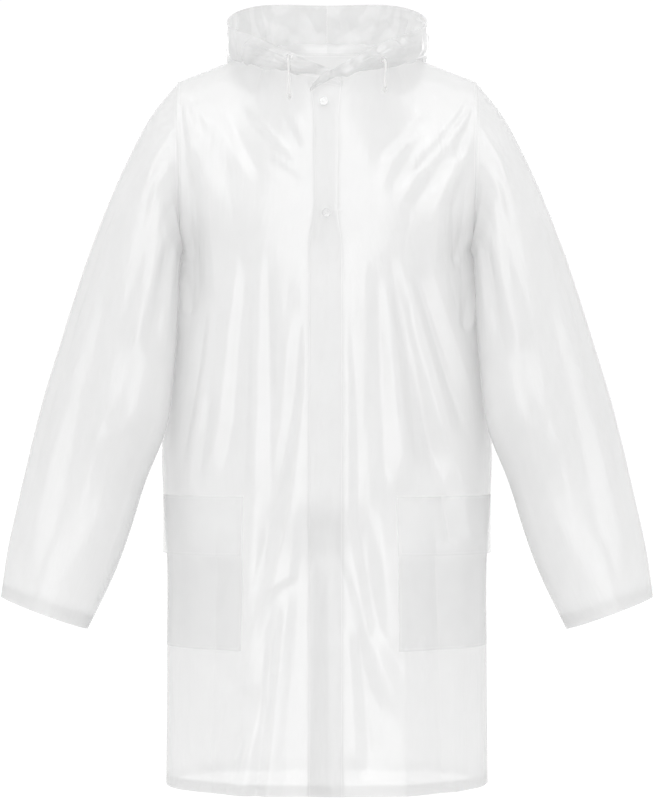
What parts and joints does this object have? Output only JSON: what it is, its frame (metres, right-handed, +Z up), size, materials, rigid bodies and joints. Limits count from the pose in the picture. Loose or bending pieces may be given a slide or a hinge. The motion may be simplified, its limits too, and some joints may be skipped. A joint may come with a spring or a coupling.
{
  "type": "hooded raincoat",
  "caption": "Knee-length clear vinyl raincoat worn open-necked, with lowered drawstring hood, snap band, patch pockets with flaps and long sleeves.",
  "frame": {"origin": "middle of the neck opening, level with the shoulders, where the wearer's neck and shoulders carry the coat", "axes": "+Z up, +X to the wearer's left, +Y to the wearer's back; the front faces -Y"},
  "size_m": [0.9112, 0.3665, 1.1204],
  "materials": {
    "vinyl": "soft frosted clear vinyl film, glossy in streaks along its folds, denser where it lies double",
    "snap_plastic": "smooth white plastic",
    "cord": "braided white cord"
  },
  "bodies": {
    "root": {"front_left": "vinyl", "front_right": "vinyl", "back": "vinyl", "sleeve_left": "vinyl", "sleeve_right": "vinyl", "hood_left": "vinyl", "hood_right": "vinyl", "placket": "vinyl", "pocket_left": "vinyl", "pocket_right": "vinyl", "flap_left": "vinyl", "flap_right": "vinyl", "snap_1": "snap_plastic", "snap_2": "snap_plastic", "snap_3": "snap_plastic", "snap_4": "snap_plastic", "eyelet_left": "snap_plastic", "eyelet_right": "snap_plastic", "cord_left": "cord", "cord_right": "cord", "knot_left": "cord", "knot_right": "cord"}
  },
  "joints": []
}
